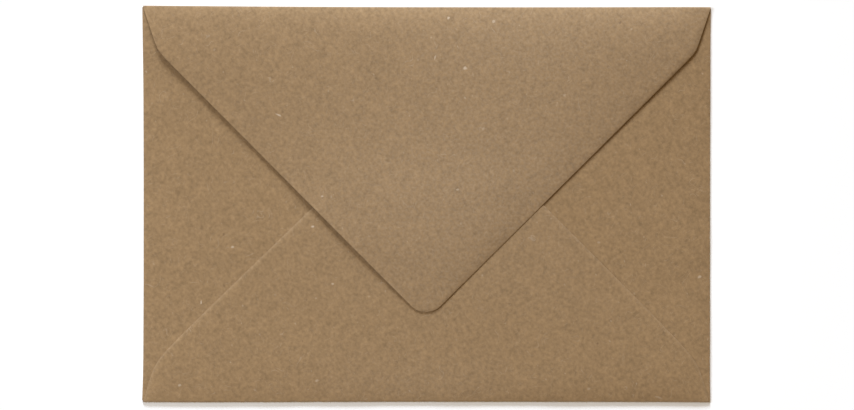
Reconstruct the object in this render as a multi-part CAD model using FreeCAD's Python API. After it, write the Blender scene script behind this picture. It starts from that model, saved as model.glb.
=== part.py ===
import FreeCAD, Part
import math
import os

# Kraft paper envelope with a deep pointed flap, closed but not stuck down. It lies on its address
# side. It is one die-cut sheet: a front panel, two side flaps folded in over it, a bottom flap glued
# over both, and a top flap folded down last.
# Frame, in millimetres: X runs along the long side and Y towards the top fold. Z is up, from the
# surface under the front panel. The origin is under the middle of the envelope.

# The sheet and the outside size, from fold to fold
PAPER = 0.15
ENVELOPE_WIDTH = 163.0
ENVELOPE_HEIGHT = 113.3

# Free height between the layers
POCKET_GAP = 0.40
FLAP_CLEARANCE = 0.25

# Every flap leaves its fold along a short steep shoulder, and then turns to its long slanted edge.
SHOULDER_HEIGHT = 13.0
SHOULDER_INSET = 4.3
SHOULDER_RADIUS = 8.0

# How far from its fold a flap's two slanted edges would cross, and the radius that rounds them there
TOP_FLAP_REACH = 90.1
TOP_FLAP_TIP_RADIUS = 6.0
BOTTOM_FLAP_REACH = 87.1
BOTTOM_FLAP_TIP_RADIUS = 40.0
SIDE_FLAP_TIP_RADIUS = 12.0

# Height of the shallow arch that the top flap makes between its fold and its tip
TOP_FLAP_ARCH = 2.5

# Gap that the blank's notches leave between the ends of two folds at a corner
CORNER_RELIEF = 0.25

# Outer radius of each fold: half the height of the layers that it wraps
SIDE_FOLD = POCKET_GAP / 2 + PAPER
BOTTOM_FOLD = (POCKET_GAP + PAPER) / 2 + PAPER
TOP_FOLD = (POCKET_GAP + 2 * PAPER + FLAP_CLEARANCE) / 2 + PAPER

# Where the folds end at the corners, measured from the outside of the crossing fold
SIDE_FOLD_LOW_END = BOTTOM_FOLD + CORNER_RELIEF
SIDE_FOLD_HIGH_END = TOP_FOLD + CORNER_RELIEF
LONG_FOLD_END = SIDE_FOLD + CORNER_RELIEF

# Level of the underside of each flap layer
SIDE_FLAP_LEVEL = PAPER + POCKET_GAP
BOTTOM_FLAP_LEVEL = SIDE_FLAP_LEVEL + PAPER

UP = FreeCAD.Vector(0, 0, 1)
CUTTER_MARGIN = 5.0


def point(x, y, z=0.0):
    return FreeCAD.Vector(x, y, z)


def rounded_outline(corners):
    """A closed wire through corners, each given as (point, radius); radius 0 keeps it sharp."""
    starts, ends, edges = [], [], []
    count = len(corners)
    for i, (corner, radius) in enumerate(corners):
        to_last = (corners[i - 1][0] - corner).normalize()
        to_next = (corners[(i + 1) % count][0] - corner).normalize()
        if radius == 0:
            starts.append(corner)
            ends.append(corner)
            continue
        half_angle = to_last.getAngle(to_next) / 2
        setback = radius / math.tan(half_angle)
        start = corner + to_last * setback
        end = corner + to_next * setback
        bisector = (to_last + to_next).normalize()
        middle = corner + bisector * (radius / math.sin(half_angle) - radius)
        edges.append(Part.Arc(start, middle, end).toShape())
        starts.append(start)
        ends.append(end)
    for i in range(count):
        edges.append(Part.LineSegment(ends[i], starts[(i + 1) % count]).toShape())
    return Part.Wire(Part.__sortEdges__(edges))


def flap_corners(fold_length, first_end, last_end, fold_radius, reach, tip_radius):
    """A flap's corners and their radii in its own plane, from where its fold strip ends.

    The side that it folds along lies along X at Y 0, and the flap points along +Y. first_end and
    last_end are how far the fold stops short of each end of that side.
    """
    half = fold_length / 2
    shoulder = half - SHOULDER_INSET
    return [
        (point(-half + first_end, fold_radius), 0),
        (point(-shoulder, SHOULDER_HEIGHT), SHOULDER_RADIUS),
        (point(0, reach), tip_radius),
        (point(shoulder, SHOULDER_HEIGHT), SHOULDER_RADIUS),
        (point(half - last_end, fold_radius), 0),
    ]


def fold_strip(length, radius):
    """Half a ring of paper along X, centred, with its outside at Y 0 and its ends at Y = radius."""
    centre = point(0, radius, radius)
    inner = radius - PAPER
    bottom_out = point(0, radius, 0)
    top_out = point(0, radius, 2 * radius)
    bottom_in = point(0, radius, PAPER)
    top_in = point(0, radius, 2 * radius - PAPER)
    section = Part.Wire([
        Part.Arc(bottom_out, centre + point(0, -radius, 0), top_out).toShape(),
        Part.LineSegment(top_out, top_in).toShape(),
        Part.Arc(top_in, centre + point(0, -inner, 0), bottom_in).toShape(),
        Part.LineSegment(bottom_in, bottom_out).toShape(),
    ])
    strip = Part.Face(section).extrude(point(length, 0, 0))
    strip.translate(point(-length / 2, 0, 0))
    return strip


def flat_flap(fold_length, first_end, last_end, fold_radius, level, reach, tip_radius):
    """A fold and the flat flap that it carries, in the flap's own plane."""
    length = fold_length - first_end - last_end
    strip = fold_strip(length, fold_radius)
    strip.translate(point((first_end - last_end) / 2, 0, 0))
    corners = flap_corners(fold_length, first_end, last_end, fold_radius, reach, tip_radius)
    plate = Part.Face(rounded_outline(corners)).extrude(point(0, 0, PAPER))
    plate.translate(point(0, 0, level))
    return strip.fuse(plate)


def front_panel():
    """The address side, flat on the surface, between the four folds."""
    width = ENVELOPE_WIDTH - 2 * SIDE_FOLD
    height = ENVELOPE_HEIGHT - BOTTOM_FOLD - TOP_FOLD
    corner = point(-width / 2, -ENVELOPE_HEIGHT / 2 + BOTTOM_FOLD)
    return Part.makeBox(width, height, PAPER, corner)


def bottom_flap():
    """The flap whose slanted edges show as the two seams. It is glued down on the side flaps."""
    flap = flat_flap(
        ENVELOPE_WIDTH,
        LONG_FOLD_END,
        LONG_FOLD_END,
        BOTTOM_FOLD,
        BOTTOM_FLAP_LEVEL,
        BOTTOM_FLAP_REACH,
        BOTTOM_FLAP_TIP_RADIUS,
    )
    flap.translate(point(0, -ENVELOPE_HEIGHT / 2, 0))
    return flap


def side_flap_reach():
    """The reach that keeps a side flap's slanted edges parallel to the seams above them."""
    seam_run = ENVELOPE_WIDTH / 2 - SHOULDER_INSET
    seam_rise = BOTTOM_FLAP_REACH - SHOULDER_HEIGHT
    edge_rise = ENVELOPE_HEIGHT / 2 - SHOULDER_INSET
    return SHOULDER_HEIGHT + edge_rise * seam_run / seam_rise


def side_flap(side):
    """A side flap, folded in over the front panel. Side is -1 on the left and 1 on the right."""
    ends = (SIDE_FOLD_HIGH_END, SIDE_FOLD_LOW_END)
    if side > 0:
        ends = (SIDE_FOLD_LOW_END, SIDE_FOLD_HIGH_END)
    flap = flat_flap(
        ENVELOPE_HEIGHT,
        ends[0],
        ends[1],
        SIDE_FOLD,
        SIDE_FLAP_LEVEL,
        side_flap_reach(),
        SIDE_FLAP_TIP_RADIUS,
    )
    flap.rotate(point(0, 0, 0), UP, side * 90)
    flap.translate(point(side * ENVELOPE_WIDTH / 2, 0, 0))
    return flap


def on_arc(centre, radius, angle):
    """The point at an angle on an arc in the YZ plane, where angle 0 points away from the flap."""
    return centre + point(0, -radius * math.cos(angle), radius * math.sin(angle))


def top_flap():
    """The closing flap: its fold wraps every layer, and it arches gently from there to its tip."""
    chord = TOP_FLAP_REACH - TOP_FOLD
    half_turn = 2 * math.atan(2 * TOP_FLAP_ARCH / chord)
    arch_radius = chord / (2 * math.sin(half_turn))
    start = -math.pi / 2
    joint = math.pi / 2 - half_turn
    end = math.pi / 2 + half_turn
    fold_centre = point(0, TOP_FOLD, TOP_FOLD)
    arch_centre = on_arc(fold_centre, TOP_FOLD - arch_radius, joint)

    def skin(inward):
        fold = [on_arc(fold_centre, TOP_FOLD - inward, a) for a in (start, (start + joint) / 2, joint)]
        arch = [on_arc(arch_centre, arch_radius - inward, a) for a in (joint, (joint + end) / 2, end)]
        return fold, arch

    fold_out, arch_out = skin(0)
    fold_in, arch_in = skin(PAPER)
    section = Part.Wire([
        Part.Arc(*fold_out).toShape(),
        Part.Arc(*arch_out).toShape(),
        Part.LineSegment(arch_out[-1], arch_in[-1]).toShape(),
        Part.Arc(*reversed(arch_in)).toShape(),
        Part.Arc(*reversed(fold_in)).toShape(),
        Part.LineSegment(fold_in[0], fold_out[0]).toShape(),
    ])
    length = ENVELOPE_WIDTH - 2 * LONG_FOLD_END
    band = Part.Face(section).extrude(point(length, 0, 0))
    band.translate(point(-length / 2, 0, 0))

    corners = flap_corners(
        ENVELOPE_WIDTH,
        LONG_FOLD_END,
        LONG_FOLD_END,
        TOP_FOLD,
        TOP_FLAP_REACH,
        TOP_FLAP_TIP_RADIUS,
    )
    past_fold = point(0, -CUTTER_MARGIN)
    corners.insert(0, (corners[0][0] + past_fold, 0))
    corners.append((corners[-1][0] + past_fold, 0))
    height = 2 * TOP_FOLD + TOP_FLAP_ARCH + 2 * CUTTER_MARGIN
    cutter = Part.Face(rounded_outline(corners)).extrude(point(0, 0, height))
    cutter.translate(point(0, 0, -CUTTER_MARGIN))
    flap = band.common(cutter)
    flap.rotate(point(0, 0, 0), UP, 180)
    flap.translate(point(0, ENVELOPE_HEIGHT / 2, 0))
    return flap


def envelope_sheet():
    """The whole sheet as one solid: the seams are joined where the bottom flap is glued down."""
    sheet = front_panel()
    for flap in (side_flap(-1), side_flap(1), bottom_flap(), top_flap()):
        sheet = sheet.fuse(flap)
    return sheet.removeSplitter()


def export(name, shape):
    shape.exportStep(os.path.join("parts", name + ".step"))
    print(name, "solids", len(shape.Solids), "valid", shape.isValid(), "volume", round(shape.Volume, 2))


os.makedirs("parts", exist_ok=True)
export("envelope_sheet", envelope_sheet())
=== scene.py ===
import math

import bmesh
import bpy
import numpy as np
from bpy.props import FloatProperty, FloatVectorProperty, IntProperty, PointerProperty
from bpy.types import Operator, Panel, PropertyGroup
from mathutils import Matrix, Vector


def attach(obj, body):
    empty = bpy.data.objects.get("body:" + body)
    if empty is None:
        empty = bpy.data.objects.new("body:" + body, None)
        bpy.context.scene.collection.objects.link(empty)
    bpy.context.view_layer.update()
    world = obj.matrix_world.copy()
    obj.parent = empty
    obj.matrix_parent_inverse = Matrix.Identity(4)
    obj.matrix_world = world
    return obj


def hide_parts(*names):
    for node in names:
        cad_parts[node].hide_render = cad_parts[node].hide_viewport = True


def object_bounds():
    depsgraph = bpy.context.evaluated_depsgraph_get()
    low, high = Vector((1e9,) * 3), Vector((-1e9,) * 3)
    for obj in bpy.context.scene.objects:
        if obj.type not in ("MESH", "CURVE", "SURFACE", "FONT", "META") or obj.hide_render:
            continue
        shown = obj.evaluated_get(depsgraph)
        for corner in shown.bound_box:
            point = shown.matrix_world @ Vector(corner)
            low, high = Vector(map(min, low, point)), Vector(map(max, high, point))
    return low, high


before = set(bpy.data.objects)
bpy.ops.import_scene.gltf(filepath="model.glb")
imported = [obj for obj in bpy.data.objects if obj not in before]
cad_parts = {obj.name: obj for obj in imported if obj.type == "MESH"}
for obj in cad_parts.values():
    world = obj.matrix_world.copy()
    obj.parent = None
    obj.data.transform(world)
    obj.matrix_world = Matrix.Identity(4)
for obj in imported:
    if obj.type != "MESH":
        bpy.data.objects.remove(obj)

bl_info = {
    "name": "Kraft Envelope",
    "version": (1, 0, 0),
    "blender": (4, 5, 0),
    "location": "View3D > Sidebar > Envelope",
    "description": "Folds a sheet of kraft paper into an envelope and sets it in soft studio light",
    "category": "Object",
}

# The envelope lies on its address side, with X along its long side and Y towards the top fold. All
# lengths are in metres. A flap's own coordinates are along its fold, and inward from its folded edge.

MM = 0.001
SHEET_NODE = "envelope_sheet"
BODY = "root"
CAD_LOW, CAD_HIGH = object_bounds()

# The two lamps are cool, as daylight is, and what comes from all round is warm. Together they are
# white.
TOP_COLOR = (0.92, 1.02, 1.16)
LEFT_COLOR = (0.87, 1.0, 1.20)
SKY_COLOR = (1.26, 0.93, 0.50)

# The noises of the pulp, each with its scale, detail, turn and weight
MOTTLE_LAYERS = ((130.0, 1.0, 0.4, 0.15), (430.0, 3.0, 1.0, 0.44), (1000.0, 3.0, 2.1, 0.72))
MOTTLE_ROUGHNESS = 0.50
# The value that a noise texture varies round
NOISE_MIDDLE = 0.5

# Each layer of flecks: its scale, the share of cells that hold one, radius, turn, stretch, how far its
# flecks are bent, and how far they cover the brown
PALE_FLECKS = (
    (105.0, 0.11, 0.060, 0.3, 1.3, 0.8 * MM, 0.75),
    (120.0, 0.07, 0.042, 2.7, 4.5, 0.8 * MM, 0.70),
    (115.0, 0.05, 0.036, 1.3, 4.0, 0.8 * MM, 0.70),
    (310.0, 0.12, 0.085, 1.9, 1.5, 0.8 * MM, 0.30),
)
DARK_FLECKS = (
    (96.0, 0.18, 0.042, 0.9, 1.4, 0.8 * MM, 0.65),
    (240.0, 0.20, 0.080, 2.2, 1.6, 0.8 * MM, 0.35),
    (420.0, 0.16, 0.110, 0.2, 1.8, 0.8 * MM, 0.22),
)
# Fibres are flecks too, thin and long.
FIBRES = (
    (2600.0, 0.60, 0.13, 0.35, 18.0, 0.30 * MM, 0.22),
    (3000.0, 0.60, 0.13, 1.50, 22.0, 0.35 * MM, 0.20),
    (2800.0, 0.60, 0.13, 2.60, 20.0, 0.30 * MM, 0.22),
    (2200.0, 0.35, 0.14, 0.95, 24.0, 0.40 * MM, 0.30),
)
# The sizes and strengths that flecks have at random, as shares of a layer's own, and where the soft
# rim of a fleck begins and where it ends, as shares of its radius
FLECK_SIZES = (0.5, 1.0)
FLECK_STRENGTHS = (0.3, 1.0)
FLECK_RIM = (1.15, 0.4)
# The scale and detail of the noise that bends flecks, and of the slow one that fibres drift with, and
# how far the slow one moves them
BEND_NOISE = (1100.0, 2.0)
DRIFT_NOISE = (150.0, 1.0)
DRIFT_REACH = 9 * MM

# The contrast of the mottle and the depth of the tooth, on the faces of the paper and on its cut edges
FACE_LOOK = (1.0, 0.05 * MM)
CUT_EDGE_LOOK = (1.4, 0.03 * MM)
# How much the finest noise, the fibres and the pale flecks add to the tooth
FINE_TOOTH = 0.6
FIBRE_TOOTH = 1.2
FLECK_TOOTH = 0.3
# Two heights of the tooth and how rough the paper is there, and how strongly it shines
TOOTH_HEIGHTS = (-0.3, 0.3)
TOOTH_ROUGHNESS = (0.92, 0.80)
SPECULAR_LEVEL = 0.38
# The noise that breaks up the wear and the painted light: its scale, two of its values, and the share
# of them left there
PALE_NOISE_SCALE = 1300.0
PALE_NOISE_VALUES = (0.4, 0.7)
PALE_NOISE_SHARES = (0.2, 0.6)

# The floor: how far it reaches, how white it is for what it lights and for the camera, and how far
# from the envelope it stops showing a shadow and is plain white
FLOOR_REACH = 0.42
PLAIN_FLOOR = 0.90
BRIGHT_FLOOR = 1.09
SHADED_FLOOR = 14 * MM
WHITE_FLOOR = 45 * MM

# How far the top light's direction leans along X and how wide an angle it fills. How far the left
# light's direction leans along Y, how far away it stands and how large it is.
TOP_LIGHT_LEAN = -0.12
TOP_LIGHT_SPREAD = math.radians(20)
LEFT_LIGHT_LEAN = 0.15
LEFT_LIGHT_DISTANCE = 0.95
LEFT_LIGHT_SIZE = 0.35

# The camera's lens and sensor in its own millimetres, the place that it stands over, and the level of
# the paper that its frame is measured at
LENS = 120.0
SENSOR_WIDTH = 36.0
CAMERA_PLACE = (0.06 * MM, -0.215 * MM)
FRAME_LEVEL = 1.0 * MM

# The grid of the sheet: rows round each fold, and rows and columns of a long flap and of a side flap
FOLD_ROWS = 9
LONG_FLAP_GRID = (76, 116)
SIDE_FLAP_GRID = (44, 80)
# The share of the grid's spacing that is crowded towards the edges. The rest is even.
EDGE_CROWDING = 0.82
# A length that counts as nothing, and the angle from which an edge is sharp
TINY = 0.001 * MM
SHARP_ANGLE = math.radians(50)

# Places along a folded side, from its left or bottom end at -1 to its other end at 1, and how far
# the side lies in from its box there
SIDE_STATIONS = (-1.0, -0.9, -0.6, -0.2, 0.2, 0.6, 0.9, 1.0)
LEFT_INSET = np.array((-0.10, 0.10, 0.26, 0.29, 0.24, 0.13, -0.12, -0.20)) * MM
RIGHT_INSET = np.array((0.10, 0.23, 0.24, 0.26, 0.27, 0.24, 0.18, 0.06)) * MM
TOP_INSET = np.array((-0.22, -0.16, 0.00, 0.12, 0.13, 0.08, 0.00, 0.00)) * MM
BOTTOM_INSET = np.array((-0.16, -0.19, -0.13, 0.00, 0.06, 0.08, 0.03, 0.00)) * MM

# How far in from the bottom fold the right seam starts to run out
SLEW_START = 12 * MM
# How far the slow waves lie over the floor, as a share of their height
WAVE_LEVEL = 1.2
# The width in the middle over which the left margin changes to the right one, on the bottom flap and
# on the top flap
BOTTOM_CHANGE = 40 * MM
TOP_CHANGE = 6 * MM

# How pale the outside of the top, side and bottom folds is: wear, and on the top fold a painted
# highlight too
TOP_WEAR_AND_HIGHLIGHT = 0.45
SIDE_WEAR = 0.7
# The bottom fold faces away from the lamps, and most of its paleness is painted light.
BOTTOM_WEAR_AND_LIGHT = 1.7
# How worn it is at the seams, and how soon that fades away from them
SEAM_WEAR = 0.22
SEAM_MARGIN = 0.25 * MM
# How much paler the top flap is painted, as painted light, and the share by which that grows to its
# right end
FLAP_PAINTED_LIGHT = 0.11
PAINTED_LIGHT_LEAN = 0.7
# Places painted paler still, as painted light on the flaps where the envelope stands highest and along
# its long folds:
# each one's middle, how far it reaches along X and Y, and how much paler it is painted
PAINTED_LIGHT_PLACES = (
    (13 * MM, 0 * MM, 46 * MM, 34 * MM, 0.14),
    (22 * MM, 46 * MM, 28 * MM, 9 * MM, 0.09),
    (-4 * MM, -53 * MM, 30 * MM, 11 * MM, 0.11),
)

# Where the layers stand highest
BULGE_PEAK = (14 * MM, 4 * MM)

# Shares of the way from the top fold to the tip, and how high the top flap stands in its middle there,
# over the layers under it
MIDDLE_STATIONS = (0.0, 0.12, 0.30, 0.48, 0.66, 0.79, 0.92, 1.0)
MIDDLE_LIFT = np.array((1.44, 1.52, 1.34, 1.04, 1.12, 1.06, 0.62, 0.28)) * MM
# The same for its left and right edges
LEFT_STATIONS = (0.0, 0.15, 0.35, 0.55, 0.75, 0.90, 1.0)
LEFT_EDGE_LIFT = np.array((0.87, 1.04, 0.68, 0.52, 1.00, 0.62, 0.28)) * MM
RIGHT_STATIONS = (0.0, 0.15, 0.35, 0.55, 0.72, 0.92, 1.0)
RIGHT_EDGE_LIFT = np.array((0.38, 0.46, 0.24, 0.08, 0.07, 0.22, 0.34)) * MM
# How far its margin bends down at each edge, at those stations, and how wide that margin is
LEFT_CURL = np.array((0.00, 0.06, 0.05, 0.02, 0.00, 0.02, 0.04)) * MM
RIGHT_CURL = np.array((0.06, 0.20, 0.14, 0.07, 0.02, 0.10, 0.14)) * MM
CURL_REACH = 0.55 * MM
# The dome between its edges leans to the right: how much, next to its fold, and the share of the way
# to the tip at which the lean has gone
DOME_LEAN = 1.35
LEAN_END = 0.55
# The power of the dome's right half next to the fold, and how much higher it is towards the tip
RIGHT_FLATNESS = (3.2, 0.6)
# Where on the way to the tip the power of each half starts to grow, and for how much of the way
LEFT_GROWTH = (0.45, 0.3)
RIGHT_GROWTH = (0.25, 0.3)
# Places along the top fold, as shares of half its length, and how soon the flap springs up there
SPRING_STATIONS = (-1.0, -0.4, 0.0, 0.35, 0.7, 1.0)
SPRING_REACH = np.array((2.8, 2.8, 4.6, 7.0, 5.5, 4.0)) * MM


def length(name, description, default):
    """A length in metres, shown in Blender's own unit."""
    return FloatProperty(
        name=name, description=description, default=default, unit="LENGTH", precision=5
    )


def number(name, description, default):
    """A plain number, such as a share."""
    return FloatProperty(name=name, description=description, default=default)


def degrees(name, description, default):
    """An angle that is given in degrees."""
    return FloatProperty(
        name=name, description=description, default=math.radians(default), subtype="ANGLE"
    )


def tint(name, description, default):
    """A colour in linear red, green and blue."""
    return FloatVectorProperty(
        name=name, description=description, default=default, subtype="COLOR", size=3
    )


class EnvelopeSizes(PropertyGroup):
    """What the sheet is cut and folded to."""

    width: length("Width", "Long side, from fold to fold", CAD_HIGH.x - CAD_LOW.x)
    height: length("Height", "Short side, from fold to fold", CAD_HIGH.y - CAD_LOW.y)
    paper: length("Paper", "Thickness of the sheet", 0.15 * MM)
    side_bend: length("Side Bend", "Radius of the side folds at the paper's middle", 0.16 * MM)
    bottom_bend: length("Bottom Bend", "Radius of the bottom fold at the paper's middle", 0.22 * MM)
    top_bend: length("Top Bend", "Radius of the top fold at the paper's middle", 0.36 * MM)
    corner_gap: length("Corner Gap", "How far the long folds stop short of each corner", 0.25 * MM)
    side_gap: length("Side Corner Gap", "The same for the side folds", 0.45 * MM)
    shoulder_height: length("Shoulder Height", "Where a flap turns to its slanted edge", 13.0 * MM)
    shoulder_inset: length("Shoulder Inset", "How far each of its edges has come in there", 4.3 * MM)
    shoulder_round: length("Shoulder Rounding", "How softly a flap turns there", 0.8 * MM)
    bottom_shoulder: length("Bottom Shoulder Height", "Where the bottom flap turns", 11.36 * MM)
    bottom_inset: length("Bottom Shoulder Inset", "How far its edges have come in there", 2.6 * MM)
    bottom_round: length("Bottom Shoulder Rounding", "How softly it turns there", 3.0 * MM)
    top_reach: length("Top Flap Reach", "Where the top flap's edges would cross", 89.98 * MM)
    top_tip: length("Top Flap Tip", "Radius of the top flap's tip", 6.0 * MM)
    bottom_reach: length("Bottom Flap Reach", "Where the bottom flap's edges would cross", 87.1 * MM)
    bottom_tip: length("Bottom Flap Tip", "Radius of the bottom flap's end", 40.0 * MM)
    side_tip: length("Side Flap Tip", "Radius of the side flaps' ends", 12.0 * MM)


class EnvelopeRelief(PropertyGroup):
    """How the paper lies: what it does between its folds."""

    puff: length("Puff", "How much the folded layers spring up inside the folds", 0.28 * MM)
    puff_reach: length("Puff Reach", "How soon they spring up", 3.5 * MM)
    right_puff: length("Right Puff", "How much they spring up inside the right fold", 0.65 * MM)
    right_reach: length("Right Puff Reach", "How soon they spring up there", 6.0 * MM)
    swell: length("Swell", "How much higher they stand in the middle of the envelope", 0.25 * MM)
    layer_gap: length("Layer Gap", "Air between two layers that are glued or pressed", 0.012 * MM)
    bulge: length("Bulge", "How much higher still they stand in the middle of the layers", 0.90 * MM)
    bulge_reach: length("Bulge Reach", "How wide that is", 42 * MM)
    left_dip: length("Left Seam Dip", "How much the glued margin dips at the left seam", 0.16 * MM)
    right_dip: length("Right Seam Dip", "The same at the right seam", 0.12 * MM)
    dip_reach: length("Dip Reach", "How wide that margin is", 0.55 * MM)
    right_slew: number("Right Seam Slew", "How far the right seam runs out for each step in", 0.036)
    flap_shift: length("Flap Shift", "How far to the left the top flap was folded over", -0.1 * MM)
    flap_skew: length("Flap Skew", "How much further to the left its tip lies", 0.3 * MM)
    cockle: length("Cockle", "Height of the slow waves in the paper", 0.05 * MM)
    seed: IntProperty(name="Seed", description="Draw of the slow waves", default=7, min=0)


class EnvelopeFinish(PropertyGroup):
    """The colours of the paper."""

    paper_color: tint("Paper", "Brown of the paper", (0.298, 0.187, 0.0885))
    edge_color: tint("Cut Edge", "Brown of the cut edges", (0.40, 0.25, 0.125))
    light_fleck: tint("Light Fleck", "Colour of the pale flecks", (0.62, 0.49, 0.36))
    dark_fleck: tint("Dark Fleck", "Colour of the dark specks", (0.13, 0.075, 0.035))
    # This colour is also painted as light: a highlight on the top fold, and paler paint on the bottom
    # fold and the flaps.
    pale_wear_and_light_color: tint("Worn", "Colour of rubbed and stretched fibres", (0.58, 0.48, 0.37))


class EnvelopeStage(PropertyGroup):
    """The lamps and the camera."""

    top_light: number("Top Light", "Share of the light that comes from the top", 0.45)
    top_height: degrees("Top Light Height", "Its angle above the floor", 22)
    left_light: number("Left Light", "Share of the light from the left", 0.30)
    left_height: degrees("Left Light Height", "Its angle above the floor", 40)
    sky_light: number("Sky Light", "Share of the light that comes from all round", 0.26)
    frame_width: length("Frame Width", "Width of the floor that the camera sees", 244.7 * MM)
    roll: degrees("Camera Roll", "How far the camera is turned", 0.08)


def smooth_step(value):
    """0 up to 0, 1 from 1, and 3t squared less 2t cubed between them."""
    t = np.clip(value, 0.0, 1.0)
    return t * t * (3 - 2 * t)


def crowded(count):
    """Numbers from 0 to 1 that lie closer together at both ends.

    A share of each is even, and the rest follows half a wave of a cosine, whose steps shrink there.
    """
    even = np.linspace(0.0, 1.0, count + 1)
    curved = (1 - np.cos(math.pi * even)) / 2
    return (1 - EDGE_CROWDING) * even + EDGE_CROWDING * curved


def across(count):
    """Numbers from -1 to 1 for a flap's columns, closer together at both edges."""
    return 2 * crowded(count) - 1


def curve_through(stations, values, at):
    """A smooth curve through a few stations: a cubic between each two, whose slope at a station is
    the mean of the straight slopes on both sides, in which that of the shorter side counts more."""
    stations = np.asarray(stations)
    slopes = np.gradient(values, stations)
    i = np.clip(np.searchsorted(stations, at, side="right") - 1, 0, len(stations) - 2)
    step = stations[i + 1] - stations[i]
    t = np.clip((at - stations[i]) / step, 0, 1)
    rise = values[i] + t * t * (3 - 2 * t) * (values[i + 1] - values[i])
    return rise + step * (t * (1 - t) ** 2 * slopes[i] - t * t * (1 - t) * slopes[i + 1])


def slow_waves(x, y, height, seed, longest=48 * MM, shortest=11 * MM, count=26):
    """Cockle: a sum of sine waves of random direction, phase and length, the long ones the highest."""
    draw = np.random.default_rng(seed)
    total = np.zeros(np.broadcast(x, y).shape)
    for wavelength in np.geomspace(longest, shortest, count):
        angle, phase = draw.uniform(0, 2 * math.pi, 2)
        along = x * math.cos(angle) + y * math.sin(angle)
        total += wavelength / longest * np.sin(2 * math.pi * along / wavelength + phase)
    return height * total / math.sqrt(count / 4)


class Flap:
    """A flap's outline, from the distance inward from its folded edge to its half width there."""

    def __init__(self, paper, bend, fold_length, gap, shoulder, tip):
        """Shoulder is its height, its inset and its rounding. Tip is the reach and the radius."""
        self.bend = bend
        # How far inward from the folded edge the fold's centre lies
        self.fold_depth = bend + paper / 2
        self.root = fold_length / 2 - gap
        self.shoulder_height, inset, self.shoulder_round = shoulder
        self.shoulder = fold_length / 2 - inset
        self.reach, self.tip_radius = tip
        # The slanted edge narrows by this much for each step inward.
        self.slant = self.shoulder / (self.reach - self.shoulder_height)
        # The tip's circle touches both slanted edges.
        steep = math.hypot(1, self.slant)
        self.tip_centre = self.reach - self.tip_radius * steep / self.slant
        self.tip_start = self.tip_centre + self.tip_radius * self.slant / steep
        self.tip_end = self.tip_centre + self.tip_radius
        self.edge_cosine = 1 / steep

    def half_width(self, inward):
        """The lower of the shoulder's line and the slanted edge, rounded where they cross: half of
        their sum, less half the root of their difference squared plus the rounding squared. Past the
        tip's start it is a circle: the root of the radius squared less the distance squared."""
        share = (inward - self.fold_depth) / (self.shoulder_height - self.fold_depth)
        shoulder_line = self.root + (self.shoulder - self.root) * share
        slanted_line = self.slant * (self.reach - inward)
        gap = np.hypot(shoulder_line - slanted_line, self.shoulder_round)
        outline = (shoulder_line + slanted_line - gap) / 2
        from_centre = np.clip(inward - self.tip_centre, 0, self.tip_radius)
        circle = np.sqrt(self.tip_radius ** 2 - from_centre ** 2)
        # Where the shoulder's rounding still reaches, it is let out towards the tip.
        at_tip = smooth_step((inward - self.shoulder_height) / (self.tip_start - self.shoulder_height))
        outline = outline + at_tip * (slanted_line - outline)
        return np.where(inward >= self.tip_start, circle, outline)

    def edge_distance(self, along, inward):
        """How far a point is from the nearer slanted edge, at a right angle to that edge, and at the
        tip how far it is inside the tip's circle."""
        from_slant = (self.half_width(inward) - np.abs(along)) * self.edge_cosine
        from_circle = self.tip_radius - np.hypot(along, inward - self.tip_centre)
        return np.maximum(np.where(inward > self.tip_start, from_circle, from_slant), 0)


def flap_grid(flap, grid, start_slope):
    """Places of a flap's grid: the rows round the fold first, and then those out to the tip.

    Round the fold, a row stands at an angle: inward is the fold's depth less the bend times the
    cosine, and the height is the bend times one plus the sine. The fold stops short of half a turn
    by the slope at which the flap leaves it. It returns along, inward, height of the fold, the
    length of paper from the fold's start, and the share of the turn that is done.
    """
    rows, columns = grid
    share = across(columns)
    angles = np.linspace(-math.pi / 2, math.pi / 2 - math.atan(start_slope), FOLD_ROWS + 1)
    turn_inward = flap.fold_depth - flap.bend * np.cos(angles)
    turn_height = flap.bend * (1 + np.sin(angles))
    turn_paper = flap.bend * (angles - angles[0])
    flat_inward = turn_inward[-1] + (flap.tip_end - turn_inward[-1]) * crowded(rows)[1:]
    inward = np.concatenate([turn_inward, flat_inward])
    height = np.concatenate([turn_height, np.full(rows, turn_height[-1])])
    paper = np.concatenate([turn_paper, turn_paper[-1] + flat_inward - turn_inward[-1]])
    turned = np.concatenate([(1 + np.sin(angles)) / 2, np.ones(rows)])
    width = flap.half_width(inward)
    width[: FOLD_ROWS + 1] = flap.root
    along = width[:, None] * share[None, :]
    by_row = (inward, height, paper, turned)
    return (along, *(np.broadcast_to(values[:, None], along.shape) for values in by_row))


def fold_wear_and_light(turned):
    """Wear, and the painted light of the top and bottom folds, is full on the outside of a fold, and
    nothing
    on the flat: the cosine of the row's angle, which is twice the root of the share turned times the
    share left."""
    return np.sqrt(np.clip(4 * turned * (1 - turned), 0, 1))


def painted_light_spots(x, y):
    """Painted light on the flap side: for each paler place, a bell curve along X times one along Y."""
    total = np.zeros(x.shape)
    for middle_x, middle_y, reach_x, reach_y, pale_cover in PAINTED_LIGHT_PLACES:
        from_x, from_y = (x - middle_x) / reach_x, (y - middle_y) / reach_y
        total += pale_cover * np.exp(-from_x ** 2 - from_y ** 2)
    return total


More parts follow.
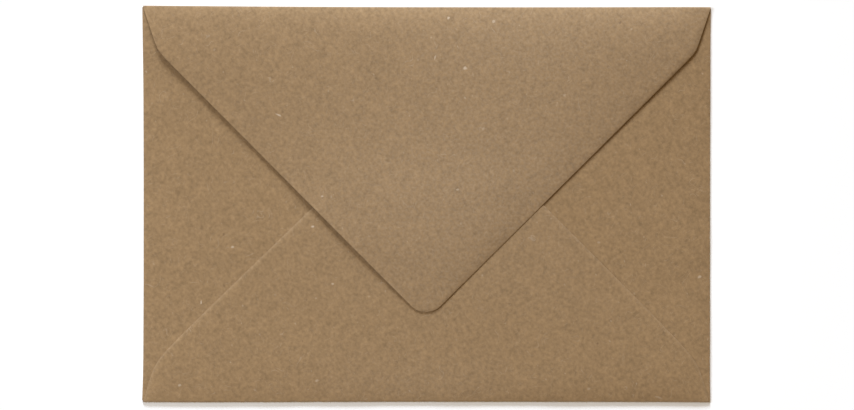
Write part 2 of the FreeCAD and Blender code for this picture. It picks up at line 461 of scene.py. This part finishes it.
class SheetBuilder:
    """Gathers the grids of the front panel and of the four flaps, and makes one mesh of them."""

    def __init__(self, sizes, relief):
        self.sizes = sizes
        self.relief = relief
        self.points, self.flats, self.wears, self.faces = [], [], [], []
        self.count = 0
        self.half = (sizes.width / 2, sizes.height / 2)
        paper, gap = sizes.paper, sizes.corner_gap
        shoulder = (sizes.shoulder_height, sizes.shoulder_inset, sizes.shoulder_round)
        tip = (sizes.top_reach, sizes.top_tip)
        self.top = Flap(paper, sizes.top_bend, sizes.width, gap, shoulder, tip)
        low_shoulder = (sizes.bottom_shoulder, sizes.bottom_inset, sizes.bottom_round)
        tip = (sizes.bottom_reach, sizes.bottom_tip)
        self.bottom = Flap(paper, sizes.bottom_bend, sizes.width, gap, low_shoulder, tip)
        # The side flaps' slanted edges run parallel to the seams.
        side_run = (self.half[1] - sizes.shoulder_inset) * self.bottom.slant
        tip = (sizes.shoulder_height + side_run, sizes.side_tip)
        self.side = Flap(paper, sizes.side_bend, sizes.height, sizes.side_gap, shoulder, tip)

    def waves(self, x, y):
        """The slow waves that run through the whole envelope, never under the floor."""
        relief = self.relief
        waves = slow_waves(x, y, relief.cockle, relief.seed)
        return np.maximum(waves + WAVE_LEVEL * relief.cockle, 0)

    def puffed(self, x, y):
        """How far the upper layers have sprung up: one less a falling exponential of the distance
        from the side folds, times the same for the top and bottom folds. A low dome goes over the
        whole envelope: one less the square of the place along it, times the same across it. It has
        the height of the swell, and a bell curve makes it higher where the most layers lie."""
        relief = self.relief
        from_side = np.maximum(self.half[0] - np.abs(x) - self.side.fold_depth, 0)
        from_end = np.maximum(self.half[1] - np.abs(y) - self.bottom.fold_depth, 0)
        side_reach = np.where(x < 0, relief.puff_reach, relief.right_reach)
        to_right = smooth_step(0.5 + x / self.sizes.width)
        puff = relief.puff + (relief.right_puff - relief.puff) * to_right
        rise = (1 - np.exp(-from_side / side_reach)) * (1 - np.exp(-from_end / relief.puff_reach))
        across_x = np.clip(x / self.half[0], -1, 1)
        across_y = np.clip(y / self.half[1], -1, 1)
        low_dome = (1 - across_x ** 2) * (1 - across_y ** 2)
        from_peak = np.hypot(x - BULGE_PEAK[0], y - BULGE_PEAK[1]) / relief.bulge_reach
        bell = np.exp(-from_peak ** 2)
        return puff * rise + (relief.swell + relief.bulge * bell) * low_dome

    def inset(self, x, y):
        """Moves every point in by the inset of the side that it is nearest to, in proportion to its
        distance from the middle."""
        across_x, across_y = x / self.half[0], y / self.half[1]
        left = curve_through(SIDE_STATIONS, LEFT_INSET, across_y)
        right = curve_through(SIDE_STATIONS, RIGHT_INSET, across_y)
        bottom = curve_through(SIDE_STATIONS, BOTTOM_INSET, across_x)
        top = curve_through(SIDE_STATIONS, TOP_INSET, across_x)
        in_x = np.where(x < 0, left, right) * across_x
        in_y = np.where(y < 0, bottom, top) * across_y
        return x - in_x, y - in_y

    def add(self, x, y, z, flat, wear):
        """Adds a grid of points, with their places on the flat sheet and their wear and painted light.
        """
        x, y = self.inset(x, y)
        self.points.append(np.stack([x, y, z], axis=-1).reshape(-1, 3))
        self.flats.append(np.stack(flat, axis=-1).reshape(-1, 2))
        self.wears.append(np.broadcast_to(wear, x.shape).reshape(-1))
        index = self.count + np.arange(x.size).reshape(x.shape)
        corners = [index[:-1, :-1], index[:-1, 1:], index[1:, 1:], index[1:, :-1]]
        self.faces.append(np.stack(corners, axis=-1).reshape(-1, 4))
        self.count += x.size

    def front_panel(self):
        """The address side: a grid whose lines meet those of the flaps at the folds."""
        long_lines = self.bottom.root * across(LONG_FLAP_GRID[1])
        short_lines = self.side.root * across(SIDE_FLAP_GRID[1])
        edge_x = self.half[0] - self.side.fold_depth
        x_lines = np.concatenate([[-edge_x], long_lines, [edge_x]])
        low_y = -self.half[1] + self.bottom.fold_depth
        high_y = self.half[1] - self.top.fold_depth
        y_lines = np.concatenate([[low_y], short_lines, [high_y]])
        x, y = np.meshgrid(x_lines, y_lines)
        z = self.sizes.paper / 2 + self.waves(x, y)
        self.add(x, y, z, (x, y), 0.0)

    def side_flap(self, side):
        """A side flap, on the left for -1 and on the right for 1. It lies as high as its fold brings
        it, and the layers' spring is added by the share of the turn."""
        relief = self.relief
        slope = relief.puff / relief.puff_reach
        along, inward, height, paper, turned = flap_grid(self.side, SIDE_FLAP_GRID, slope)
        x = side * (self.half[0] - inward)
        y = -side * along
        z = self.sizes.paper / 2 + self.waves(x, y) + height + turned * self.puffed(x, y)
        flat_x = side * (self.half[0] - self.side.fold_depth + paper)
        self.add(x, y, z, (flat_x, y), SIDE_WEAR * fold_wear_and_light(turned))

    def bottom_flap(self):
        """The flap whose slanted edges are the seams. Its glued margin dips towards its edge by a
        falling exponential of the distance from there. Its right half is drawn out by the slew for
        each step inward, in proportion to the place across it."""
        relief, flap = self.relief, self.bottom
        slope = relief.puff / relief.puff_reach
        along, inward, height, paper, turned = flap_grid(flap, LONG_FLAP_GRID, slope)
        x, y = -along, inward - self.half[1]
        out = relief.right_slew * np.maximum(inward - SLEW_START, 0)
        x = x + out * np.clip(x / flap.half_width(inward), 0, 1)
        to_right = smooth_step(0.5 + x / BOTTOM_CHANGE)
        dip = relief.left_dip + (relief.right_dip - relief.left_dip) * to_right
        from_edge = flap.edge_distance(along, inward)
        above_margin = dip * (1 - np.exp(-from_edge / relief.dip_reach))
        spring = relief.layer_gap + self.puffed(x, y) + above_margin
        z = self.sizes.paper / 2 + self.waves(x, y) + height + turned * spring
        flat_y = -self.half[1] + flap.fold_depth - paper
        seam_wear = SEAM_WEAR * np.exp(-from_edge / SEAM_MARGIN) * (turned == 1)
        # The bottom fold and the paler places get painted light, on top of the seams' pale margin.
        wear = np.maximum(BOTTOM_WEAR_AND_LIGHT * fold_wear_and_light(turned), seam_wear + painted_light_spots(x, y))
        self.add(x, y, z, (x, flat_y), wear)

    def flap_lift(self, along, inward, start):
        """How high the top flap stands over the layers. It springs up behind its fold by one less a
        falling exponential. Each edge follows its own curve to the tip. Between them is a dome that
        leans to the right next to the fold. On the left it is one less the square of the place across
        the flap, raised to a power that grows towards the tip, so that the flap lies flatter along
        that edge. On the right it is one less a higher power of that place: the flap is flat there
        for longer, and bends down to its edge."""
        flap = self.top
        from_fold = np.maximum(inward - start, 0)
        done = from_fold / (flap.tip_end - start)
        spring_reach = curve_through(SPRING_STATIONS, SPRING_REACH, along / self.half[0])
        spring = 1 - np.exp(-from_fold / spring_reach)
        middle = curve_through(MIDDLE_STATIONS, MIDDLE_LIFT, done)
        left = curve_through(LEFT_STATIONS, LEFT_EDGE_LIFT, done)
        right = curve_through(RIGHT_STATIONS, RIGHT_EDGE_LIFT, done)
        share = np.clip(along / np.maximum(flap.half_width(inward), TINY), -1, 1)
        edge = left * (1 - share) / 2 + right * (1 + share) / 2
        lean = DOME_LEAN * np.clip(1 - done / LEAN_END, 0, 1)
        left_power = 1 + smooth_step((done - LEFT_GROWTH[0]) / LEFT_GROWTH[1])
        grown = smooth_step((done - RIGHT_GROWTH[0]) / RIGHT_GROWTH[1])
        right_power = RIGHT_FLATNESS[0] + RIGHT_FLATNESS[1] * grown
        left_form = (1 - share ** 2) ** left_power
        right_form = 1 - np.maximum(share, 0) ** right_power
        form = np.where(share < 0, left_form, right_form)
        dome = (middle - (left + right) / 2) * form * (1 + lean * share)
        to_right = smooth_step(0.5 + along / TOP_CHANGE)
        left_curl = curve_through(LEFT_STATIONS, LEFT_CURL, done) * (1 - to_right)
        right_curl = curve_through(RIGHT_STATIONS, RIGHT_CURL, done) * to_right
        curl = (left_curl + right_curl) * np.exp(-flap.edge_distance(along, inward) / CURL_REACH)
        return spring * (edge + dome) - curl

    def top_flap(self):
        """The closing flap, which springs up behind its fold and comes down again to its tip. It lies
        to the left by its shift, and by its skew as well towards its tip."""
        relief, flap = self.relief, self.top
        slope = relief.puff / relief.puff_reach + MIDDLE_LIFT[0] / SPRING_REACH.mean()
        along, inward, height, paper, turned = flap_grid(flap, LONG_FLAP_GRID, slope)
        x, y = along, self.half[1] - inward
        start = inward[FOLD_ROWS, 0]
        lift = self.flap_lift(along, inward, start)
        z = self.sizes.paper / 2 + self.waves(x, y) + height + turned * (self.puffed(x, y) + lift)
        settled = smooth_step(inward / flap.tip_end)
        shifted = x - turned * (relief.flap_shift + relief.flap_skew * settled)
        flat_y = self.half[1] - flap.fold_depth + paper
        # Painted light: the top flap is painted paler, more so towards its right end.
        painted_flap_light = FLAP_PAINTED_LIGHT * (1 + PAINTED_LIGHT_LEAN * x / self.half[0])
        wear = np.maximum(TOP_WEAR_AND_HIGHLIGHT * fold_wear_and_light(turned), painted_flap_light + painted_light_spots(x, y))
        self.add(shifted, y, z, (x, flat_y), wear)

    def mesh(self, name):
        """One mesh of all grids, joined at the folds, with the flat sheet as its UV map."""
        points = np.concatenate(self.points)
        faces = np.concatenate(self.faces)
        flats = np.concatenate(self.flats)
        mesh = bpy.data.meshes.new(name)
        mesh.from_pydata(points.tolist(), [], faces.tolist())
        uv_map = mesh.uv_layers.new(name="flat_sheet")
        corner_points = np.zeros(len(mesh.loops), np.int32)
        mesh.loops.foreach_get("vertex_index", corner_points)
        uv_map.data.foreach_set("uv", flats[corner_points].astype(np.float32).ravel())
        wear = mesh.attributes.new("wear", "FLOAT", "POINT")
        wear.data.foreach_set("value", np.concatenate(self.wears).astype(np.float32))
        shell = bmesh.new()
        shell.from_mesh(mesh)
        bmesh.ops.remove_doubles(shell, verts=shell.verts, dist=TINY)
        bmesh.ops.recalc_face_normals(shell, faces=shell.faces)
        shell.to_mesh(mesh)
        shell.free()
        return mesh


def new_node(tree, kind, **settings):
    """A shader node of a kind, with its settings."""
    node = tree.nodes.new(kind)
    for name, value in settings.items():
        setattr(node, name, value)
    return node


def math_node(tree, operation, first, second=None):
    """A Math node on two values, each a number or a socket, and its output."""
    node = new_node(tree, "ShaderNodeMath", operation=operation)
    for socket, value in zip(node.inputs, (first, second)):
        connect(tree, value, socket)
    return node.outputs["Value"]


def vector_node(tree, operation, *values):
    """A Vector Math node on values in the order of its inputs, and its output."""
    node = new_node(tree, "ShaderNodeVectorMath", operation=operation)
    for socket, value in zip(node.inputs, values):
        connect(tree, value, socket)
    return node.outputs["Vector"]


def connect(tree, value, socket):
    """Links a socket to a socket, or sets it to a value. None leaves it as it is."""
    if isinstance(value, bpy.types.NodeSocket):
        tree.links.new(value, socket)
    elif value is not None:
        socket.default_value = value


def blend_color(tree, amount, under, over):
    """Under, covered by over as far as an amount says."""
    node = new_node(tree, "ShaderNodeMix", data_type="RGBA", blend_type="MIX")
    connect(tree, amount, node.inputs["Factor"])
    color_inputs = [socket for socket in node.inputs if socket.type == "RGBA"]
    connect(tree, under, color_inputs[0])
    connect(tree, over, color_inputs[1])
    return next(socket for socket in node.outputs if socket.type == "RGBA")


def new_group(name, inputs, outputs):
    """An empty node group. Its inputs are numbers, each with its default, or vectors where that is
    None, and its outputs are numbers."""
    tree = bpy.data.node_groups.new(name, "ShaderNodeTree")
    for label, default in inputs.items():
        kind = "NodeSocketVector" if default is None else "NodeSocketFloat"
        socket = tree.interface.new_socket(label, in_out="INPUT", socket_type=kind)
        if default is not None:
            socket.default_value = default
    for label in outputs:
        tree.interface.new_socket(label, in_out="OUTPUT", socket_type="NodeSocketFloat")
    start = new_node(tree, "NodeGroupInput")
    end = new_node(tree, "NodeGroupOutput")
    return tree, start.outputs, end.inputs


def use_group(tree, group, **values):
    """Places a group in a tree and fills its inputs, each by its name in small letters."""
    node = new_node(tree, "ShaderNodeGroup", node_tree=group)
    for name, value in values.items():
        connect(tree, value, node.inputs[name.title()])
    return node.outputs


def noise(tree, place, scale, detail=2.0, roughness=0.5):
    """A Noise Texture's outputs."""
    node = new_node(tree, "ShaderNodeTexNoise")
    connect(tree, place, node.inputs["Vector"])
    node.inputs["Scale"].default_value = scale
    node.inputs["Detail"].default_value = detail
    node.inputs["Roughness"].default_value = roughness
    return node.outputs


def shifted_place(tree, place, scale, detail, reach):
    """A place moved along X and Y by a noise of a scale and detail, times a reach."""
    color = noise(tree, place, scale, detail)["Color"]
    centred = vector_node(tree, "SUBTRACT", color, (NOISE_MIDDLE, NOISE_MIDDLE, NOISE_MIDDLE))
    sideways = new_node(tree, "ShaderNodeCombineXYZ")
    connect(tree, reach, sideways.inputs["X"])
    connect(tree, reach, sideways.inputs["Y"])
    return vector_node(tree, "MULTIPLY_ADD", centred, sideways.outputs["Vector"], place)


def value_map(tree, value, from_low, from_high, to_low=0.0, to_high=1.0, smooth=False):
    """A Map Range node on a value, straight or with smooth ends, and its output."""
    node = new_node(tree, "ShaderNodeMapRange")
    if smooth:
        node.interpolation_type = "SMOOTHSTEP"
    for socket, given in zip(node.inputs, (value, from_low, from_high, to_low, to_high)):
        connect(tree, given, socket)
    return node.outputs["Result"]


def turned_place(tree, vector, turn, stretch):
    """A place turned round Z, and then squeezed along X so that what is drawn there is stretched."""
    rotate = new_node(tree, "ShaderNodeVectorRotate", rotation_type="Z_AXIS")
    connect(tree, vector, rotate.inputs["Vector"])
    connect(tree, turn, rotate.inputs["Angle"])
    parts = new_node(tree, "ShaderNodeSeparateXYZ")
    connect(tree, rotate.outputs["Vector"], parts.inputs["Vector"])
    joined = new_node(tree, "ShaderNodeCombineXYZ")
    connect(tree, math_node(tree, "DIVIDE", parts.outputs["X"], stretch), joined.inputs["X"])
    connect(tree, parts.outputs["Y"], joined.inputs["Y"])
    return joined.outputs["Vector"]


def fleck_group():
    """Flecks: a Voronoi cell holds one where its random number is under the share, and it is a soft
    spot round the cell's point, stretched along one direction and bent by noise."""
    inputs = {
        "Vector": None,
        "Scale": 90.0,
        "Share": 0.3,
        "Radius": 0.05,
        "Turn": 0.0,
        "Stretch": 1.0,
        "Bend": 0.8 * MM,
    }
    tree, given, result = new_group("Flecks", inputs, ("Mask",))
    place = shifted_place(tree, given["Vector"], *BEND_NOISE, given["Bend"])
    cells = new_node(tree, "ShaderNodeTexVoronoi", voronoi_dimensions="2D")
    stretched = turned_place(tree, place, given["Turn"], given["Stretch"])
    connect(tree, stretched, cells.inputs["Vector"])
    connect(tree, given["Scale"], cells.inputs["Scale"])
    chance = new_node(tree, "ShaderNodeSeparateColor")
    connect(tree, cells.outputs["Color"], chance.inputs["Color"])
    chosen = math_node(tree, "LESS_THAN", chance.outputs["Red"], given["Share"])
    size = value_map(tree, chance.outputs["Green"], 0.0, 1.0, *FLECK_SIZES)
    radius = math_node(tree, "MULTIPLY", given["Radius"], size)
    near = math_node(tree, "DIVIDE", cells.outputs["Distance"], radius)
    spot = value_map(tree, near, *FLECK_RIM, smooth=True)
    strength = value_map(tree, chance.outputs["Blue"], 0.0, 1.0, *FLECK_STRENGTHS)
    mask = math_node(tree, "MULTIPLY", spot, math_node(tree, "MULTIPLY", chosen, strength))
    connect(tree, mask, result["Mask"])
    return tree


def mottle_group():
    """Mottle: how light or dark the pulp is, as a factor round 1, from a coarse, a middle and a fine
    noise. The middle and the fine one are its tooth too."""
    inputs = {"Vector": None, "Contrast": 1.0}
    tree, given, result = new_group("Pulp Mottle", inputs, ("Factor", "Height"))
    layers, total = [], None
    for scale, detail, turn, weight in MOTTLE_LAYERS:
        spot = turned_place(tree, given["Vector"], turn, 1.0)
        value = noise(tree, spot, scale, detail, MOTTLE_ROUGHNESS)["Fac"]
        field = math_node(tree, "SUBTRACT", value, NOISE_MIDDLE)
        part = math_node(tree, "MULTIPLY", field, weight)
        total = part if total is None else math_node(tree, "ADD", total, part)
        layers.append(field)
    scaled = math_node(tree, "MULTIPLY", total, given["Contrast"])
    connect(tree, math_node(tree, "ADD", scaled, 1.0), result["Factor"])
    height = math_node(tree, "ADD", layers[1], math_node(tree, "MULTIPLY", layers[2], FINE_TOOTH))
    connect(tree, height, result["Height"])
    return tree


def fleck_layers(tree, group, place, layers):
    """The highest of several layers of flecks, each with the cover that its last number gives."""
    total = None
    names = ("scale", "share", "radius", "turn", "stretch", "bend")
    for *settings, cover in layers:
        mask = use_group(tree, group, vector=place, **dict(zip(names, settings)))["Mask"]
        covered = math_node(tree, "MULTIPLY", mask, cover)
        total = covered if total is None else math_node(tree, "MAXIMUM", total, covered)
    return total


def paper_material(name, groups, finish, color, contrast, bump_depth):
    """Kraft paper: its brown, mottled, with pale flecks, dark specks and fibres, and a fine tooth."""
    material = bpy.data.materials.new(name)
    material.use_nodes = True
    tree = material.node_tree
    shader = tree.nodes["Principled BSDF"]
    place = new_node(tree, "ShaderNodeUVMap", uv_map="flat_sheet").outputs["UV"]
    mottle = use_group(tree, groups["mottle"], vector=place, contrast=contrast)
    drifted = shifted_place(tree, place, *DRIFT_NOISE, DRIFT_REACH)
    fibres = fleck_layers(tree, groups["fleck"], drifted, FIBRES)
    pale = fleck_layers(tree, groups["fleck"], place, PALE_FLECKS)
    dark = fleck_layers(tree, groups["fleck"], place, DARK_FLECKS)

    brown = vector_node(tree, "SCALE", color, None, None, mottle["Factor"])
    light, shade = (*finish.light_fleck, 1), (*finish.dark_fleck, 1)
    dyed = blend_color(tree, fibres, brown, light)
    dyed = blend_color(tree, dark, dyed, shade)
    dyed = blend_color(tree, pale, dyed, light)
    # Rubbed and stretched fibres are paler. The same pale colour is also painted light: on the top and
    # bottom folds, on the top flap and in its paler places.
    wear = new_node(tree, "ShaderNodeAttribute", attribute_name="wear").outputs["Fac"]
    broken = noise(tree, place, PALE_NOISE_SCALE)["Fac"]
    kept_share = value_map(tree, broken, *PALE_NOISE_VALUES, *PALE_NOISE_SHARES)
    pale_cover = math_node(tree, "MULTIPLY", wear, kept_share)
    dyed = blend_color(tree, pale_cover, dyed, (*finish.pale_wear_and_light_color, 1))
    connect(tree, dyed, shader.inputs["Base Color"])

    rough = value_map(tree, mottle["Height"], *TOOTH_HEIGHTS, *TOOTH_ROUGHNESS)
    connect(tree, rough, shader.inputs["Roughness"])
    shader.inputs["Specular IOR Level"].default_value = SPECULAR_LEVEL
    bump = new_node(tree, "ShaderNodeBump")
    bump.inputs["Distance"].default_value = bump_depth
    height = mottle["Height"]
    for spots, tooth in ((fibres, FIBRE_TOOTH), (pale, FLECK_TOOTH)):
        height = math_node(tree, "ADD", height, math_node(tree, "MULTIPLY", spots, tooth))
    connect(tree, height, bump.inputs["Height"])
    connect(tree, bump.outputs["Normal"], shader.inputs["Normal"])
    return material


def new_object(scene, name, data):
    """An object that shows its data in the scene."""
    made = bpy.data.objects.new(name, data)
    scene.collection.objects.link(made)
    return made


class ENVELOPE_OT_fold_sheet(Operator):
    """Fold the kraft sheet into the envelope, in place of its plain solid"""

    bl_idname = "envelope.fold_sheet"
    bl_label = "Fold Sheet"
    bl_options = {"REGISTER", "UNDO"}

    def execute(self, context):
        scene = context.scene
        sizes, relief, finish = scene.envelope_sizes, scene.envelope_relief, scene.envelope_finish
        builder = SheetBuilder(sizes, relief)
        builder.front_panel()
        builder.side_flap(-1)
        builder.side_flap(1)
        builder.bottom_flap()
        builder.top_flap()
        sheet = new_object(scene, "folded_sheet", builder.mesh("folded_sheet"))

        thickness = sheet.modifiers.new("Paper thickness", "SOLIDIFY")
        thickness.thickness = sizes.paper
        thickness.offset = 0.0
        thickness.material_offset_rim = 1
        whole = sheet.evaluated_get(context.evaluated_depsgraph_get())
        finished = bpy.data.meshes.new_from_object(whole)
        sheet.modifiers.clear()
        sheet.data = finished
        finished.name = "folded_sheet"
        finished.shade_smooth()
        finished.set_sharp_from_angle(angle=SHARP_ANGLE)

        groups = {"fleck": fleck_group(), "mottle": mottle_group()}
        finished.materials.clear()
        for name, color, look in (
            ("kraft_paper", finish.paper_color, FACE_LOOK),
            ("kraft_cut_edge", finish.edge_color, CUT_EDGE_LOOK),
        ):
            finished.materials.append(paper_material(name, groups, finish, color, *look))

        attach(sheet, BODY)
        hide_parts(SHEET_NODE)
        return {"FINISHED"}


def add_lamp(scene, data, aim, distance, color):
    """Puts a lamp at a distance in the direction of aim, turned to the envelope."""
    data.color = color
    lamp = new_object(scene, data.name, data)
    lamp.location = aim * distance
    lamp.rotation_mode = "QUATERNION"
    lamp.rotation_quaternion = aim.to_track_quat("Z", "Y")


def area_lamp(scene, name, direction, distance, share, size, color):
    """A soft square lamp that points at the envelope from a direction, and gives a white surface on
    the floor a share of full light there: its power is pi squared times the share and the distance
    squared, divided by the sine of its angle above the floor."""
    data = bpy.data.lights.new(name, "AREA")
    data.shape = "SQUARE"
    data.size = size
    aim = Vector(direction).normalized()
    data.energy = math.pi ** 2 * share * distance ** 2 / aim.z
    add_lamp(scene, data, aim, distance, color)


def sun_lamp(scene, name, direction, share, spread, color):
    """Even light from a direction, as soft as its spread is wide. It gives a white surface on the
    floor a share of full light: pi times the share, divided by the sine of its angle above it."""
    data = bpy.data.lights.new(name, "SUN")
    data.angle = spread
    aim = Vector(direction).normalized()
    data.energy = math.pi * share / aim.z
    add_lamp(scene, data, aim, 1.0, color)


def beside_envelope(tree):
    """0 up to a small distance from the envelope's outline on the floor, and 1 from a larger one: the
    greater of how far a place lies past its sides and past its ends."""
    place = new_node(tree, "ShaderNodeTexCoord").outputs["Object"]
    parts = new_node(tree, "ShaderNodeSeparateXYZ")
    connect(tree, place, parts.inputs["Vector"])
    past = []
    for axis, half in (("X", CAD_HIGH.x), ("Y", CAD_HIGH.y)):
        away = math_node(tree, "ABSOLUTE", parts.outputs[axis])
        past.append(math_node(tree, "SUBTRACT", away, half))
    farther = math_node(tree, "MAXIMUM", past[0], past[1])
    return value_map(tree, farther, SHADED_FLOOR, WHITE_FLOOR, smooth=True)


def matt_white(tree, level):
    """A matt surface that sends back this share of the light."""
    node = new_node(tree, "ShaderNodeBsdfDiffuse")
    node.inputs["Color"].default_value = (level, level, level, 1)
    return node.outputs["BSDF"]


def mix_shader(tree, share, first, second):
    """The first shader where the share is 0, and the second where it is 1."""
    node = new_node(tree, "ShaderNodeMixShader")
    for socket, value in zip(node.inputs, (share, first, second)):
        connect(tree, value, socket)
    return node.outputs["Shader"]


def white_floor(scene):
    """A white table top. The camera sees it brighter than it lights the envelope, and it keeps the
    envelope's shadow. Farther away it is as white as the sky."""
    mesh = bpy.data.meshes.new("floor")
    reach = FLOOR_REACH
    corners = [(-reach, -reach, 0), (reach, -reach, 0), (reach, reach, 0), (-reach, reach, 0)]
    mesh.from_pydata(corners, [], [(0, 1, 2, 3)])
    floor = new_object(scene, "floor", mesh)
    material = bpy.data.materials.new("white_floor")
    material.use_nodes = True
    tree = material.node_tree
    tree.nodes.clear()
    white = new_node(tree, "ShaderNodeEmission").outputs["Emission"]
    shown = mix_shader(tree, beside_envelope(tree), matt_white(tree, BRIGHT_FLOOR), white)
    surface = mix_shader(tree, seen_directly(tree), matt_white(tree, PLAIN_FLOOR), shown)
    end = new_node(tree, "ShaderNodeOutputMaterial")
    connect(tree, surface, end.inputs["Surface"])
    mesh.materials.append(material)


def seen_directly(tree):
    """1 for what the camera, a reflection or a view through glass sees, and 0 for what lights."""
    path = new_node(tree, "ShaderNodeLightPath")
    seen = math_node(tree, "MAXIMUM", path.outputs["Is Camera Ray"], path.outputs["Is Glossy Ray"])
    return math_node(tree, "MAXIMUM", seen, path.outputs["Is Transmission Ray"])


def sky(scene, share):
    """White where it is seen, and a share of full light from all round for what it lights."""
    world = bpy.data.worlds.new("sky")
    world.use_nodes = True
    tree = world.node_tree
    background = tree.nodes["Background"]
    seen = seen_directly(tree)
    color = blend_color(tree, seen, (*SKY_COLOR, 1), (1.0, 1.0, 1.0, 1))
    tree.links.new(color, background.inputs["Color"])
    tree.links.new(value_map(tree, seen, 0.0, 1.0, share, 1.0), background.inputs["Strength"])
    scene.world = world


class ENVELOPE_OT_set_stage(Operator):
    """Make the floor, the lamps and the camera"""

    bl_idname = "envelope.set_stage"
    bl_label = "Set Stage"
    bl_options = {"REGISTER", "UNDO"}

    def execute(self, context):
        scene = context.scene
        stage = scene.envelope_stage
        white_floor(scene)
        sky(scene, stage.sky_light)
        top = (TOP_LIGHT_LEAN, math.cos(stage.top_height), math.sin(stage.top_height))
        sun_lamp(scene, "top_light", top, stage.top_light, TOP_LIGHT_SPREAD, TOP_COLOR)
        left = (-math.cos(stage.left_height), LEFT_LIGHT_LEAN, math.sin(stage.left_height))
        place = (left, LEFT_LIGHT_DISTANCE)
        area_lamp(scene, "left_softbox", *place, stage.left_light, LEFT_LIGHT_SIZE, LEFT_COLOR)

        data = bpy.data.cameras.new("camera")
        data.sensor_width = SENSOR_WIDTH
        data.lens = LENS
        camera = new_object(scene, "camera", data)
        distance = stage.frame_width * data.lens / data.sensor_width
        camera.location = (*CAMERA_PLACE, distance + FRAME_LEVEL)
        camera.rotation_euler = (0.0, 0.0, stage.roll)
        bpy.context.scene.camera = camera
        scene.view_settings.view_transform = "Standard"
        return {"FINISHED"}


class ENVELOPE_PT_sidebar(Panel):
    """Everything that makes the envelope"""

    bl_idname = "ENVELOPE_PT_sidebar"
    bl_label = "Kraft Envelope"
    bl_space_type = "VIEW_3D"
    bl_region_type = "UI"
    bl_category = "Envelope"

    def draw(self, context):
        layout = self.layout
        layout.use_property_split = True
        for title, group in (
            ("Sheet", context.scene.envelope_sizes),
            ("Relief", context.scene.envelope_relief),
            ("Finish", context.scene.envelope_finish),
            ("Stage", context.scene.envelope_stage),
        ):
            box = layout.box()
            box.label(text=title)
            for name in group.__annotations__:
                box.prop(group, name)
        layout.operator(ENVELOPE_OT_fold_sheet.bl_idname)
        layout.operator(ENVELOPE_OT_set_stage.bl_idname)


GROUPS = {
    "envelope_sizes": EnvelopeSizes,
    "envelope_relief": EnvelopeRelief,
    "envelope_finish": EnvelopeFinish,
    "envelope_stage": EnvelopeStage,
}
CLASSES = (*GROUPS.values(), ENVELOPE_OT_fold_sheet, ENVELOPE_OT_set_stage, ENVELOPE_PT_sidebar)


def register():
    for one in CLASSES:
        bpy.utils.register_class(one)
    for name, group in GROUPS.items():
        setattr(bpy.types.Scene, name, PointerProperty(type=group))


def unregister():
    for name in GROUPS:
        delattr(bpy.types.Scene, name)
    for one in reversed(CLASSES):
        bpy.utils.unregister_class(one)


def main():
    register()
    bpy.ops.envelope.fold_sheet()
    bpy.ops.envelope.set_stage()


if __name__ == "__main__":
    main()
